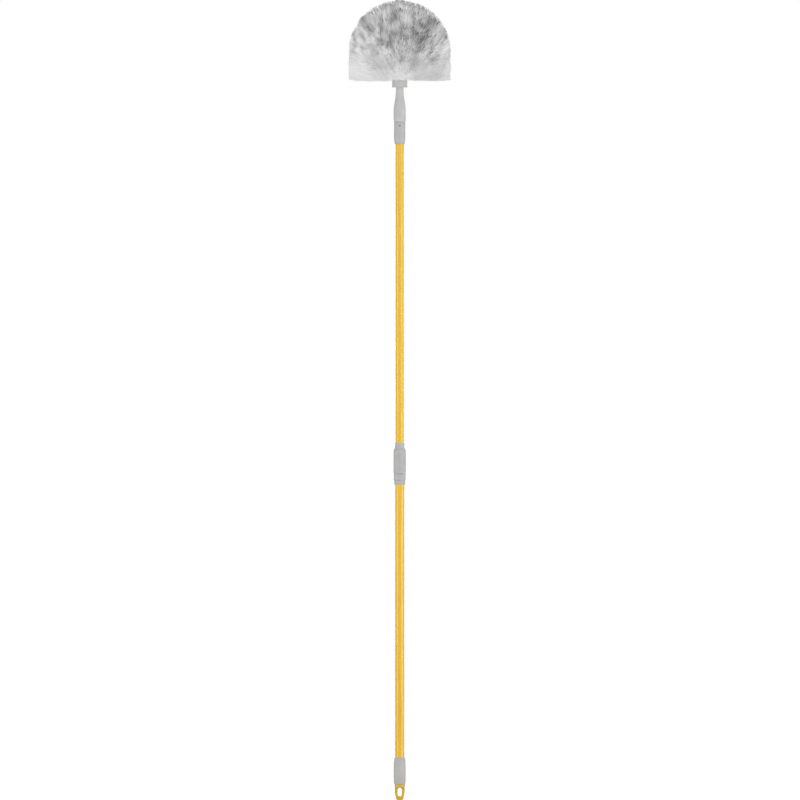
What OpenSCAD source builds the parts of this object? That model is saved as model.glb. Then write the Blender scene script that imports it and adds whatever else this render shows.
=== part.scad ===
// Cobweb brush: a domed brush head on a two-part telescopic pole with a clamp collar.
// Z runs up the pole to the head, and the origin is the centre of the hand grip.
// The pole is drawn at its full length, with the lock nut tight.

/* [Tubes] */
// Outside diameter of the upper, inner tube
inner_tube_od = 20; // [17:0.5:24]
// Length of the upper, inner tube
inner_tube_len = 846; // [500:1:1100]
// Length of the lower, outer tube
outer_tube_len = 752; // [500:1:1000]
// Wall of both steel tubes
tube_wall = 0.5; // [0.4:0.1:0.8]
// Gap between the two tubes, on the radius
tube_play = 0.5; // [0.4:0.1:1]
// Length of the inner tube that stays in the outer one at full length
tube_overlap = 50; // [40:1:120]
// Width of the stop bead rolled in the foot of the inner tube
bead_w = 3; // [2:0.5:6]

/* [Clearances] */
// Radial clearance of pieces that slide or turn on each other
slide_gap = 0.08; // [0.05:0.01:0.1]
// Radial clearance of pieces that are pushed together for good
press_gap = 0.05; // [0.03:0.01:0.06]
// Gap left where one piece seats on another along the pole
seat_gap = 0.1; // [0.05:0.05:0.2]
// Gap at joint lines that open when the piece is undone
line_gap = 0.4; // [0.3:0.1:0.8]

/* [Hand grip] */
// Length of the grip sleeve
grip_len = 64; // [50:1:120]
// Wall of the grip sleeve in the middle of its barrel
grip_wall = 3; // [2:0.1:4]
// How much thinner the wall is at both ends of the barrel
grip_draft = 0.7; // [0.2:0.1:1]
// Length of the tapered shoulder at the top
grip_shoulder = 8; // [4:1:14]
// Wall left at the very top of the grip sleeve
grip_edge = 0.6; // [0.4:0.1:1]

/* [Hanging cap] */
// How far the cap's rim stands out past the outer tube
cap_rim = 1.1; // [0.6:0.1:1.6]
// Height of the rim
cap_rim_h = 6; // [3:1:10]
// Length of the plug inside the tube
cap_plug_len = 22; // [12:1:40]
// Wall of the hollow plug
cap_plug_wall = 1.8; // [1.2:0.1:3]
// Length of the loop below the rim
loop_len = 32.5; // [28:0.5:50]
// Thickness of the loop
loop_t = 8; // [5:0.5:12]
// Radius of the loop's outer end
loop_end_r = 8.8; // [6.5:0.1:10]
// Width of the hanging eye
eye_w = 9.8; // [7:0.1:11]
// Length of the hanging eye
eye_len = 20; // [14:0.5:24]
// Distance from the rim to the eye
eye_drop = 1; // [0.5:0.5:4]

/* [Clamp collar] */
// Depth of the outer tube in the collet body
body_seat = 50; // [35:1:70]
// Length of the collet body that shows below the nut
body_show = 25; // [15:1:35]
// Wall of the collet body around the outer tube
body_wall = 2.9; // [2.2:0.1:4]
// Wall of the collet body at its slimmer foot
body_foot_wall = 1.7; // [1.2:0.1:2.8]
// Height of that foot
body_foot_h = 9; // [5:0.5:14]
// Wall of the threaded part of the collet body
body_thread_wall = 1.6; // [1.5:0.1:2.6]
// Length of the collet body above the outer tube
body_top = 15; // [12:1:24]
// Depth of the tapered mouth in the collet body
mouth_depth = 8; // [6:0.5:10]
// Half angle of the clamp cone
cone_angle = 9; // [6:0.5:11]
// Wall of the clamp cone at its thin ends
cone_edge = 0.6; // [0.5:0.1:0.9]
// Length of the straight middle of the clamp cone
cone_mid = 6; // [4:0.5:10]
// Width of the slit in the clamp cone
cone_slit = 2.5; // [1.5:0.5:4]
// Wall of the lock nut over the thread
nut_wall = 1.8; // [1.6:0.1:3]
// Length of the lock nut
nut_len = 72.4; // [66:0.1:90]
// Length of the thin neck at the top of the nut
nut_neck_len = 13; // [5:0.5:14]
// Wall of the thin neck
nut_neck_wall = 0.7; // [0.6:0.1:1.2]
// Clearance of the nut's neck around the inner tube, on the radius
nut_neck_gap = 0.3; // [0.2:0.1:0.5]
// Height of the rounded shoulder below the neck
nut_shoulder = 13; // [8:1:14]
// Width of the ledge between the neck and the shoulder
nut_ledge = 1.4; // [0.8:0.1:2]
// Number of grip flutes around the nut
flutes = 12; // [8:1:16]
// Depth of a grip flute
flute_depth = 0.6; // [0.3:0.1:0.8]
// Radius of the cutter of a grip flute
flute_r = 3; // [2:0.5:5]

/* [Pole tip] */
// Wall of the sleeve around the inner tube
tip_wall = 3.3; // [2.6:0.1:4.5]
// Length of the sleeve
tip_len = 51; // [35:1:80]
// Wall of the sleeve at its slimmer foot
tip_foot_wall = 2.1; // [1.2:0.1:3.2]
// Height of that foot
tip_foot_h = 4.5; // [3:0.5:10]
// Height of the taper above the foot
tip_taper = 7; // [4:0.5:12]
// Thickness of the web that closes the sleeve
tip_web = 2; // [1.5:0.5:3]
// Diameter of the threaded stub
stub_od = 22; // [20:0.5:23]
// Length of the threaded stub
stub_len = 30; // [20:1:40]
// Wall of the hollow stub
stub_wall = 4; // [2.5:0.5:6]
// Distance of the rivet below the end of the tube
rivet_drop = 6; // [5:1:10]
// Diameter of the rivet's shank
rivet_d = 3.2; // [2.4:0.1:4]
// Diameter of the rivet's head
rivet_head_d = 5; // [4.4:0.1:7]
// Height of the rivet's head, sunk in the sleeve
rivet_head_h = 0.9; // [0.6:0.1:1.2]
// How far the rivet stands out inside the tube
rivet_tail = 1.6; // [1:0.1:3]

/* [Guide bush] */
// Length of the bush's flange below the inner tube
bush_flange = 6; // [4:1:12]
// Depth of the bush in the inner tube
bush_plug = 18; // [10:1:30]
// Wall of the bush
bush_wall = 2; // [1.4:0.1:3]

/* [Neck socket] */
// Wall of the bulb around the thread
bulb_wall = 3.4; // [2.6:0.1:4.5]
// How much slimmer the bulb is at its mouth than at its widest
bulb_draft = 0.6; // [0.2:0.05:1.4]
// Height of the rounding at the mouth
bulb_wide_at = 7; // [4:1:14]
// Length of the bulb up to where it starts to taper
bulb_len = 23.5; // [20:0.5:40]
// Length of the flare from the bulb up to the slim neck
flare_len = 50; // [35:0.5:70]
// Diameter of the slim neck under the block
neck_top_d = 18.4; // [16:0.1:20]
// Length of the slim neck
neck_top_len = 7; // [4:0.5:20]
// Diameter of the spigot that enters the block
spigot_d = 14; // [12:0.5:15]
// Length of the spigot
spigot_len = 16; // [10:0.5:18]
// Diameter of the passage for the screw's head
screw_way_d = 10; // [9.6:0.1:11]

/* [Block screw] */
// Diameter of the shank
screw_d = 4.5; // [3.5:0.1:5.5]
// Length of the shank
screw_len = 42; // [30:1:50]
// Diameter of the head
screw_head_d = 9; // [7:0.1:9.2]
// Height of the head
screw_head_h = 3; // [2:0.1:4]
// Thickness of the neck's floor under the head
screw_floor = 10; // [6:1:14]

/* [Brush block] */
// Diameter of the flange
flange_d = 36.7; // [32:0.1:42]
// Height of the ball's centre over the flange's foot
ball_rise = 44; // [40:1:50]
// Radius of the ball's outside
ball_r = 28.4; // [26:0.1:32]
// Thickness of the outer skin that the bristles grow from
skin_t = 3.1; // [2.5:0.1:4]
// Height of the lip at the foot of the flange
lip_h = 3.5; // [2:0.5:6]
// How far the lip stands out past the flange
lip_out = 0.5; // [0.2:0.1:1]
// Gap between the skin and the core of the ball
skin_gap = 0.3; // [0.25:0.01:0.4]

/* [Tuft anchors] */
// Diameter of a tuft hole
hole_d = 4.4; // [3.6:0.1:4.8]
// Depth of a tuft hole in the core
hole_depth = 7; // [5:0.5:9]
// Cut length of the flat anchor wire
anchor_len = 4; // [3:0.1:4.2]
// Width of the wire
anchor_w = 2.2; // [1.6:0.1:3]
// Thickness of the wire
anchor_t = 0.5; // [0.3:0.05:0.8]
// Angle between rings of tuft holes
hole_pitch = 20; // [18:1:26]

/* [Bristles] */
// Radius of the head over the bristles
head_r = 120.5; // [90:0.5:150]
// Height of the dome's centre above the ball's centre
dome_rise = 42; // [20:1:45]
// Depth of the skirt below the ball's centre
skirt_drop = 26; // [16:1:28]
// Polar angle where the first row of strands starts
crown_angle = 3; // [2:0.5:5]
// Polar angle where the last row of strands ends
skirt_angle = 116; // [100:1:118]
// Thickness of a strand
strand_t = 2.2; // [1.6:0.1:2.6]
// How far a strand bends aside half way, as a share of its spacing
strand_bend = 0.2; // [0:0.05:0.25]
// How far a strand strays from its place, as a share of its spacing
strand_stray = 0.16; // [0:0.02:0.2]
// Seed of the strands' scatter
strand_seed = 7; // [1:1:99]

/* [Hidden] */
$fn = 96;
overcut = 1;
band_rows = 2;
band_gap = 0.5;
band_counts = [8, 20, 31, 38, 43, 44];
bands = len(band_counts);

inner_r = inner_tube_od / 2;
outer_bore_r = inner_r + tube_play;
outer_r = outer_bore_r + tube_wall;
run_r = inner_r + slide_gap;
bead_h = outer_bore_r - slide_gap - inner_r;

grip_z0 = -grip_len / 2;
grip_z1 = grip_len / 2;
outer_z0 = grip_z0;
outer_z1 = outer_z0 + outer_tube_len;
cap_z = outer_z0 - seat_gap;
rim_z = cap_z - cap_rim_h;
loop_z = rim_z - loop_len;
cap_r = outer_r + cap_rim;

body_z0 = outer_z1 - body_seat;
body_z1 = outer_z1 + body_top;
body_line = body_z0 + body_show;
body_bore_r = outer_r + press_gap;
body_r = body_bore_r + body_wall;
body_foot_r = body_bore_r + body_foot_wall;
thread_r = body_bore_r + body_thread_wall;
mouth_z = body_z1 - mouth_depth;
cone_end_r = run_r + cone_edge;
cone_tan = tan(cone_angle);
cone_taper = mouth_depth - seat_gap;
cone_mid_r = cone_end_r + cone_taper * cone_tan;
cone_z0 = mouth_z + seat_gap;
cone_z1 = cone_z0 + cone_taper;
cone_z2 = cone_z1 + cone_mid;
cone_z3 = cone_z2 + cone_taper;

nut_z0 = body_line + line_gap;
nut_z1 = nut_z0 + nut_len;
nut_neck_z = nut_z1 - nut_neck_len;
nut_shoulder_z = nut_neck_z - nut_shoulder;
nut_bore_r = thread_r + slide_gap;
nut_r = nut_bore_r + nut_wall;
nut_neck_bore_r = inner_r + nut_neck_gap;
nut_neck_r = nut_neck_bore_r + nut_neck_wall;

inner_z0 = outer_z1 - tube_overlap;
inner_z1 = inner_z0 + inner_tube_len;
bead_z1 = outer_z1 - seat_gap;
tip_z1 = inner_z1 + seat_gap + tip_web;
tip_z0 = tip_z1 - tip_len;
tip_bore_r = inner_r + press_gap;
tip_r = tip_bore_r + tip_wall;
tip_foot_r = tip_bore_r + tip_foot_wall;
stub_r = stub_od / 2;
stub_z1 = tip_z1 + stub_len;
rivet_z = inner_z1 - rivet_drop;

socket_z0 = tip_z1 + line_gap;
socket_bore_r = stub_r + slide_gap;
socket_floor = stub_z1 + line_gap;
bulb_r = socket_bore_r + bulb_wall;
bulb_z1 = socket_z0 + bulb_len;
flare_z1 = bulb_z1 + flare_len;
block_z0 = flare_z1 + neck_top_len;
spigot_z1 = block_z0 + spigot_len;
screw_z = block_z0 - screw_floor;

flange_r = flange_d / 2;
ball_z = block_z0 + ball_rise;
skin_in_r = ball_r - skin_t;
core_r = skin_in_r - skin_gap;
ledge_z = ball_z + ball_r * cos(skirt_angle) - seat_gap;
row_step = (skirt_angle - crown_angle) / (bands * band_rows);
skirt_reach = atan2(head_r, -skirt_drop);

// Colours as they show
module steel_yellow() { color([0.94, 0.75, 0.2]) children(); }
module loop_yellow() { color([0.96, 0.78, 0.16]) children(); }
module pale_grey() { color([0.76, 0.76, 0.75]) children(); }
module mid_grey() { color([0.7, 0.7, 0.69]) children(); }
module bare_steel() { color([0.62, 0.63, 0.64]) children(); }
module bristle_grey() { color([0.8, 0.8, 0.8]) children(); }

// A ring of material around the pole between two heights
module ring(outside, bore, low, high) {
    translate([0, 0, low]) difference() {
        cylinder(r = outside, h = high - low);
        translate([0, 0, -overcut]) cylinder(r = bore, h = high - low + 2 * overcut);
    }
}

// A solid turned around the pole from a profile of [radius, height]
module turned(points) { rotate_extrude() polygon(points); }

// Points along a quarter of an ellipse, from the side [r0, z0] up to the top [r1, z1]
function shoulder_arc(r0, z0, r1, z1, steps) =
    [for (i = [0:steps]) [r1 + (r0 - r1) * cos(90 * i / steps), z0 + (z1 - z0) * sin(90 * i / steps)]];

module outer_tube() steel_yellow() ring(outer_r, outer_bore_r, outer_z0, outer_z1);

// The bead near the foot runs in the outer tube and stops under the collet body
module inner_tube() steel_yellow() {
    bore = inner_r - tube_wall;
    turned([[bore, inner_z0], [inner_r, inner_z0], [inner_r, bead_z1 - bead_w],
            [inner_r + bead_h, bead_z1 - bead_w + bead_h], [inner_r + bead_h, bead_z1 - bead_h],
            [inner_r, bead_z1], [inner_r, inner_z1], [bore, inner_z1]]);
}

// Hollow plug in the foot of the inner tube, with a flange that runs in the outer tube
module guide_bush() mid_grey() {
    plug_r = inner_r - tube_wall - press_gap;
    flange_z = inner_z0 - seat_gap;
    run = outer_bore_r - slide_gap;
    edge = 1;
    turned([[plug_r - bush_wall, flange_z - bush_flange], [run - edge, flange_z - bush_flange],
            [run, flange_z - bush_flange + edge], [run, flange_z], [plug_r, flange_z],
            [plug_r, flange_z + bush_plug - edge], [plug_r - edge, flange_z + bush_plug],
            [plug_r - bush_wall, flange_z + bush_plug]]);
}

module grip_sleeve() mid_grey() {
    bore = outer_r + press_gap;
    foot_edge = 1;
    steps = 10;
    barrel_z0 = grip_z0 + foot_edge;
    barrel_z1 = grip_z1 - grip_shoulder;
    barrel = [for (i = [0:steps]) let (t = i / steps, wall = grip_wall - grip_draft * pow(2 * t - 1, 2))
                 [bore + wall, barrel_z0 + (barrel_z1 - barrel_z0) * t]];
    turned(concat([[bore, grip_z0], [bore + grip_wall - grip_draft - foot_edge, grip_z0]], barrel,
                  [[bore + grip_edge, grip_z1], [bore, grip_z1]]));
}

// Points on an arc around [0, z], with the angle counted from the side upwards
function arc(r, z, from, to, steps) =
    [for (i = [0:steps]) let (a = from + (to - from) * i / steps) [r * cos(a), z + r * sin(a)]];

// Outline of the loop: straight sides that touch a wide arc above and a narrow one below
function loop_outline(top, r0, z0, r1, z1) =
    let (lean = asin((r0 - r1) / (z0 - z1)))
    concat([[r0, top]], arc(r0, z0, 0, -lean, 3), arc(r1, z1, -lean, lean - 180, 20),
           arc(r0, z0, lean - 180, -180, 3), [[-r0, top]]);

// Plug and rim around the pole, and below them a flat loop cut from the same round bar
module hanging_cap() loop_yellow() {
    edge = 1;
    loop_r = cap_r - 0.5;
    plug_r = outer_bore_r - press_gap;
    eye_top = rim_z - eye_drop;
    eye_r = eye_w / 2;
    flat = loop_t / 2;
    neck_z = rim_z - (cap_r - flat) / 2;
    turned([[plug_r - cap_plug_wall, rim_z + cap_rim_h / 2], [plug_r - cap_plug_wall, cap_z + cap_plug_len],
            [plug_r - edge, cap_z + cap_plug_len], [plug_r, cap_z + cap_plug_len - edge],
            [plug_r, cap_z], [cap_r, cap_z], [cap_r, rim_z], [0, rim_z], [0, rim_z + cap_rim_h / 2]]);
    difference() {
        intersection() {
            rotate([90, 0, 0]) linear_extrude(height = 2 * cap_r, center = true)
                polygon(loop_outline(rim_z, cap_r, rim_z - cap_r + flat, loop_end_r, loop_z + loop_end_r));
            translate([0, 0, loop_z - overcut]) cylinder(r = loop_r, h = rim_z - loop_z + overcut);
            rotate([90, 0, 90]) linear_extrude(height = 2 * cap_r + 2 * overcut, center = true)
                polygon([[-cap_r, rim_z], [-cap_r, rim_z - edge], [-flat, neck_z], [-flat, loop_z + edge],
                         [-flat + edge, loop_z], [flat - edge, loop_z], [flat, loop_z + edge],
                         [flat, neck_z], [cap_r, rim_z - edge], [cap_r, rim_z]]);
        }
        rotate([90, 0, 0]) linear_extrude(height = 2 * cap_r + 2 * overcut, center = true)
            polygon(concat(arc(eye_r, eye_top - eye_r, 0, 180, 16),
                           arc(eye_r, eye_top - eye_len + eye_r, 180, 360, 16)));
    }
}

// Fixed lower half of the clamp: seat for the outer tube, thread for the nut, tapered mouth
module collet_body() mid_grey() {
    foot_edge = 0.8;
    lead = 0.8;
    seat_z = outer_z1 + seat_gap;
    mouth_r = cone_end_r + seat_gap;
    foot_z = body_z0 + body_foot_h;
    turned([[body_bore_r, body_z0], [body_foot_r - foot_edge, body_z0], [body_foot_r, body_z0 + foot_edge],
            [body_foot_r, foot_z], [body_r, foot_z + body_r - body_foot_r],
            [body_r, body_line - foot_edge], [body_r - foot_edge, body_line], [thread_r, body_line],
            [thread_r, body_z1 - lead], [thread_r - lead / 2, body_z1],
            [mouth_r + mouth_depth * cone_tan, body_z1], [mouth_r, mouth_z], [run_r, mouth_z],
            [run_r, seat_z], [body_bore_r, seat_z]]);
}

// Split double cone that closes on the inner tube
module clamp_cone() pale_grey() {
    difference() {
        turned([[run_r, cone_z0], [cone_end_r, cone_z0], [cone_mid_r, cone_z1], [cone_mid_r, cone_z2],
                [cone_end_r, cone_z3], [run_r, cone_z3]]);
        translate([0, -cone_slit / 2, cone_z0 - overcut])
            cube([cone_mid_r + overcut, cone_slit, cone_z3 - cone_z0 + 2 * overcut]);
    }
}

// Fluted nut with a rounded shoulder and a thin neck around the inner tube
module lock_nut() mid_grey() {
    edge = 0.8;
    seat_in_r = cone_mid_r + seat_gap;
    seat_out_r = cone_end_r + seat_gap;
    flute_foot = nut_z0 + 4;
    flute_top = nut_shoulder_z - 2;
    shoulder = shoulder_arc(nut_r, nut_shoulder_z, nut_neck_r + nut_ledge, nut_neck_z, 8);
    difference() {
        turned(concat([[nut_bore_r, nut_z0], [nut_r - edge, nut_z0], [nut_r, nut_z0 + edge]], shoulder,
                      [[nut_neck_r, nut_neck_z], [nut_neck_r, nut_z1], [nut_neck_bore_r, nut_z1],
                       [nut_neck_bore_r, cone_z3 + seat_gap], [seat_out_r, cone_z3 + seat_gap],
                       [seat_in_r, cone_z2], [seat_in_r, cone_z1 + 1], [nut_bore_r, cone_z1 + 1]]));
        for (i = [0:flutes - 1])
            rotate([0, 0, 360 * (i + 0.5) / flutes]) translate([nut_r - flute_depth + flute_r, 0, flute_foot])
                cylinder(r = flute_r, h = flute_top - flute_foot);
    }
}

// Sleeve riveted on the inner tube, closed by a web that carries the hollow threaded stub
module pole_tip() mid_grey() {
    edge = 0.6;
    lead = 1.2;
    well = stub_r - stub_wall;
    difference() {
        turned([[tip_bore_r, tip_z0], [tip_foot_r - edge, tip_z0], [tip_foot_r, tip_z0 + edge],
                [tip_foot_r, tip_z0 + tip_foot_h], [tip_r, tip_z0 + tip_foot_h + tip_taper],
                [tip_r, tip_z1 - edge], [tip_r - edge, tip_z1], [stub_r, tip_z1],
                [stub_r, stub_z1 - lead], [stub_r - lead, stub_z1], [well, stub_z1],
                [well, tip_z1 + tip_web], [0, tip_z1 + tip_web], [0, inner_z1 + seat_gap],
                [tip_bore_r, inner_z1 + seat_gap]]);
        rivet_hole(tip_r + overcut);
        translate([0, -tip_r + rivet_head_h + press_gap, rivet_z]) rotate([90, 0, 0])
            cylinder(d = rivet_head_d + 2 * press_gap, h = rivet_head_h + overcut);
    }
}

// Hole for the rivet's shank, from inside the tube out to the given radius
module rivet_hole(out) {
    start = inner_r - tube_wall - overcut;
    translate([0, -start, rivet_z]) rotate([90, 0, 0])
        cylinder(d = rivet_d + 2 * press_gap, h = out - start);
}

module tip_rivet() bare_steel() {
    dome = 0.3;
    translate([0, -tip_r, rivet_z]) rotate([-90, 0, 0]) rotate_extrude()
        polygon([[0, 0], [rivet_head_d / 2 - dome, 0], [rivet_head_d / 2, dome],
                 [rivet_head_d / 2, rivet_head_h], [rivet_d / 2, rivet_head_h],
                 [rivet_d / 2, tip_r - inner_r + tube_wall + rivet_tail],
                 [0, tip_r - inner_r + tube_wall + rivet_tail]]);
}

module riveted_inner_tube() difference() {
    inner_tube();
    rivet_hole(inner_r + press_gap);
}

// Points of a flare that starts and ends straight, from [r0, z0] up to [r1, z1]
function flare(r0, z0, r1, z1, steps) =
    [for (i = [0:steps]) [r1 + (r0 - r1) * (1 + cos(180 * i / steps)) / 2, z0 + (z1 - z0) * i / steps]];

// Screw socket in a bulb that flares into the neck, with a passage for the screw that holds the block
module neck_socket() pale_grey() {
    edge = 1;
    way = screw_way_d / 2;
    neck_r = neck_top_d / 2;
    mouth_r = bulb_r - bulb_draft;
    pin_way = screw_d / 2 + press_gap;
    mouth = [for (i = [0:4]) [mouth_r + bulb_draft * sin(90 * i / 4),
                              socket_z0 + bulb_wide_at - (bulb_wide_at - edge) * cos(90 * i / 4)]];
    turned(concat([[socket_bore_r, socket_z0], [mouth_r - edge, socket_z0]], mouth,
                  flare(bulb_r, bulb_z1, neck_r, flare_z1, 14),
                  [[neck_r, block_z0 - seat_gap], [spigot_d / 2, block_z0 - seat_gap],
                   [spigot_d / 2, spigot_z1 - edge], [spigot_d / 2 - edge, spigot_z1],
                   [pin_way, spigot_z1], [pin_way, screw_z], [way, screw_z], [way, socket_floor],
                   [socket_bore_r, socket_floor]]));
}

module block_screw() bare_steel() {
    under = screw_z - seat_gap;
    point = 3;
    shank = screw_d / 2;
    turned([[0, under - screw_head_h], [screw_head_d / 2 - 1, under - screw_head_h],
            [screw_head_d / 2, under - screw_head_h + 1], [screw_head_d / 2, under], [shank, under],
            [shank, under + screw_len - point], [0, under + screw_len]]);
}

// Places its children at every tuft hole, with Z pointing out of the ball
module at_tuft_holes() {
    rings = floor((skirt_angle - hole_pitch / 4) / hole_pitch);
    for (k = [0:rings]) {
        polar = k * hole_pitch + hole_pitch / 2;
        count = max(3, round(360 * sin(polar) / (hole_pitch + 4)));
        if (polar < skirt_angle)
            for (i = [0:count - 1])
                translate([0, 0, ball_z]) rotate([0, polar, 360 * (i + k / 2) / count]) children();
    }
}

// Ball with a stepped-in core for the bristle skin, tuft holes and a flanged foot
module brush_block() pale_grey() {
    pilot_r = screw_d / 2 + press_gap;
    lip_edge = 1;
    inset = flange_r - lip_out;
    difference() {
        union() {
            translate([0, 0, ball_z]) sphere(r = core_r);
            intersection() {
                translate([0, 0, ball_z]) sphere(r = ball_r);
                translate([0, 0, block_z0]) cylinder(r = ball_r + overcut, h = ledge_z - block_z0);
            }
            turned([[0, block_z0], [flange_r - lip_edge, block_z0], [flange_r, block_z0 + lip_edge],
                    [flange_r, block_z0 + lip_h - lip_out], [inset, block_z0 + lip_h],
                    [inset, ball_z - ball_r / 2], [0, ball_z - ball_r / 2]]);
        }
        translate([0, 0, block_z0 - overcut])
            cylinder(d = spigot_d + 2 * press_gap, h = spigot_len + seat_gap + overcut);
        translate([0, 0, block_z0]) cylinder(r = pilot_r, h = screw_len - screw_floor + 1);
        at_tuft_holes() translate([0, 0, core_r - hole_depth]) cylinder(d = hole_d, h = hole_depth + overcut);
    }
}

module tuft_anchors() bare_steel()
    at_tuft_holes() translate([-anchor_len / 2, -anchor_t / 2, core_r - hole_depth + press_gap])
        cube([anchor_len, anchor_t, anchor_w]);

// Direction from the ball's centre, out of a polar angle and an azimuth
function ray(polar, around) = [sin(polar) * cos(around), sin(polar) * sin(around), cos(polar)];

// The two directions across a ray: around the pole, and up to the crown
function across(around) = [-sin(around), cos(around), 0];
function upward(polar, around) = [-cos(polar) * cos(around), -cos(polar) * sin(around), sin(polar)];

// Distance from the ball's centre to the trimmed outline of the head
function reach(polar) =
    head_r * cos(polar) > dome_rise * sin(polar)
    ? dome_rise * cos(polar) + sqrt(pow(head_r, 2) - pow(dome_rise * sin(polar), 2))
    : head_r / sin(polar);

// Polar angle of a strand's tip: the strands fan out to the lower edge of the skirt
function tip_polar(polar) = polar * (skirt_reach - 1) / (skirt_angle - row_step / 2);

// Three corners of a strand where it crosses a sphere around the ball's centre
function strand_ring(polar, around, distance, thick) =
    [for (turn = [225, 345, 465])
        distance * ray(polar, around)
        + thick / sqrt(3) * (cos(turn) * across(around) + sin(turn) * upward(polar, around))];

// The nine points of one strand: foot, bend and tip
function strand_points(polar, around, step, room, luck) =
    let (stray = strand_stray * step, bend = strand_bend * step,
         foot_t = min(strand_t, room), tip = tip_polar(polar + stray * luck[0]),
         side = stray * luck[1] / max(sin(polar), 0.3), far = reach(tip))
    concat(strand_ring(polar, around, ball_r, foot_t),
           strand_ring((polar + tip) / 2 + bend * luck[2], around + (side + bend * luck[3]) / 2,
                       (ball_r + far) / 2, strand_t),
           strand_ring(tip, around + side, far, strand_t));

// One ring of the ball's skin with its strands, as one closed mesh.
// Its points are the outer grid, the inner grid and then nine for each strand.
module bristle_band(band) {
    count = band_counts[band];
    first = crown_angle + band * band_rows * row_step;
    last = first + band_rows * row_step - (band < bands - 1 ? band_gap : 0);
    step = (last - first) / band_rows;
    turn = 360 / count;
    luck = rands(-1, 1, band_rows * count * 4, strand_seed + band);
    grid = (band_rows + 1) * count;

    function at(row, col) = row * count + col % count;
    function cell(row, col) = 2 * grid + (row * count + col) * 9;

    shells = [for (r = [ball_r, skin_in_r], row = [0:band_rows], col = [0:count - 1])
                 r * ray(first + row * step, col * turn)];
    strands = [for (row = [0:band_rows - 1], col = [0:count - 1])
                  let (polar = first + (row + 0.5) * step, at_luck = (row * count + col) * 4)
                  each strand_points(polar, (col + 0.5) * turn, row_step,
                                     ball_r * sin(polar) * turn * PI / 180 / 2,
                                     [for (i = [0:3]) luck[at_luck + i]])];
    frames = [for (row = [0:band_rows - 1], col = [0:count - 1])
                 let (a = at(row + 1, col), b = at(row + 1, col + 1), c = at(row, col + 1),
                      d = at(row, col), s = cell(row, col))
                 each [[a, b, s], [b, s + 1, s], [b, c, s + 1], [c, s + 2, s + 1],
                       [c, d, s + 2], [d, s, s + 2], [d, a, s],
                       [s + 6, s + 7, s + 8]]];
    sides = [for (row = [0:band_rows - 1], col = [0:count - 1], level = [0, 3], i = [0:2])
                let (s = cell(row, col) + level, n = (i + 1) % 3)
                each [[s + i, s + n, s + n + 3], [s + i, s + n + 3, s + i + 3]]];
    lining = [for (row = [0:band_rows - 1], col = [0:count - 1])
                 let (a = grid + at(row + 1, col), b = grid + at(row + 1, col + 1),
                      c = grid + at(row, col + 1), d = grid + at(row, col))
                 each [[a, c, b], [a, d, c]]];
    rims = [for (col = [0:count - 1])
               let (a = at(0, col), b = at(0, col + 1), c = at(band_rows, col), d = at(band_rows, col + 1))
               each [[a, b, grid + b], [a, grid + b, grid + a],
                     [d, c, grid + c], [d, grid + c, grid + d]]];
    faces = concat(frames, sides, lining, rims);
    translate([0, 0, ball_z])
        polyhedron(concat(shells, strands), [for (f = faces) [f[2], f[1], f[0]]], convexity = 10);
}

module tufts_crown() bristle_grey() bristle_band(0);
module tufts_top() bristle_grey() bristle_band(1);
module tufts_shoulder() bristle_grey() bristle_band(2);
module tufts_upper() bristle_grey() bristle_band(3);
module tufts_lower() bristle_grey() bristle_band(4);
module tufts_skirt() bristle_grey() bristle_band(5);

tufts_crown();
tufts_top();
tufts_shoulder();
tufts_upper();
tufts_lower();
tufts_skirt();
brush_block();
tuft_anchors();
block_screw();
neck_socket();
pole_tip();
tip_rivet();
riveted_inner_tube();  // inner_tube
guide_bush();
lock_nut();
clamp_cone();
collet_body();
outer_tube();
grip_sleeve();
hanging_cap();
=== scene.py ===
"""Looks of the cobweb brush: bristle head, enamelled telescopic pole and moulded fittings."""

import logging
import math
from dataclasses import dataclass
from enum import Enum
from typing import ClassVar

import bmesh
import bpy
from mathutils import Matrix, Vector

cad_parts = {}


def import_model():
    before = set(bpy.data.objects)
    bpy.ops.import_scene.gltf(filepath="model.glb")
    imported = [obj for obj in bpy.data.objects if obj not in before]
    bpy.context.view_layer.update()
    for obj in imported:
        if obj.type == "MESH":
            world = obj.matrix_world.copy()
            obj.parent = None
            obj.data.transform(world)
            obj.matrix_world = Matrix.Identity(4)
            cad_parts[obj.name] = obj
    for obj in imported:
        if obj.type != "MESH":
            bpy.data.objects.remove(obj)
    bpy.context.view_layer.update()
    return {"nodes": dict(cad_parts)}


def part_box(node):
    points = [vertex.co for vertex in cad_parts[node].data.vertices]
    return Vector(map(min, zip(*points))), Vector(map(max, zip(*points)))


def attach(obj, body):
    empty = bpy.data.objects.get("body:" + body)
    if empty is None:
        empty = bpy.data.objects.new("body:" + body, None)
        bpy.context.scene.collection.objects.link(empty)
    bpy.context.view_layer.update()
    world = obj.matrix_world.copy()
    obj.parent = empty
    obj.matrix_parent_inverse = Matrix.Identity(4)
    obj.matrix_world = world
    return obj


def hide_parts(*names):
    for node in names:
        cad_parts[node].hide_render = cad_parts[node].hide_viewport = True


MM = 0.001
FULL_TURN = 2 * math.pi
WHITE = (1, 1, 1, 1)

# Kinds of node that several trees use
MATH = "ShaderNodeMath"
VECTOR = "ShaderNodeVectorMath"
NOISE = "ShaderNodeTexNoise"
RANGE = "ShaderNodeMapRange"
RAMP = "ShaderNodeValToRGB"
WHERE = "ShaderNodeTexCoord"
SKIN = "ShaderNodeBsdfPrincipled"
MATERIAL_END = "ShaderNodeOutputMaterial"
READ = "GeometryNodeInputNamedAttribute"
STORE = "GeometryNodeStoreNamedAttribute"

# One socket of a node, and all its outputs
Socket = bpy.types.NodeSocket
Sockets = bpy.types.NodeOutputs

log = logging.getLogger("cobweb_brush")


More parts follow.
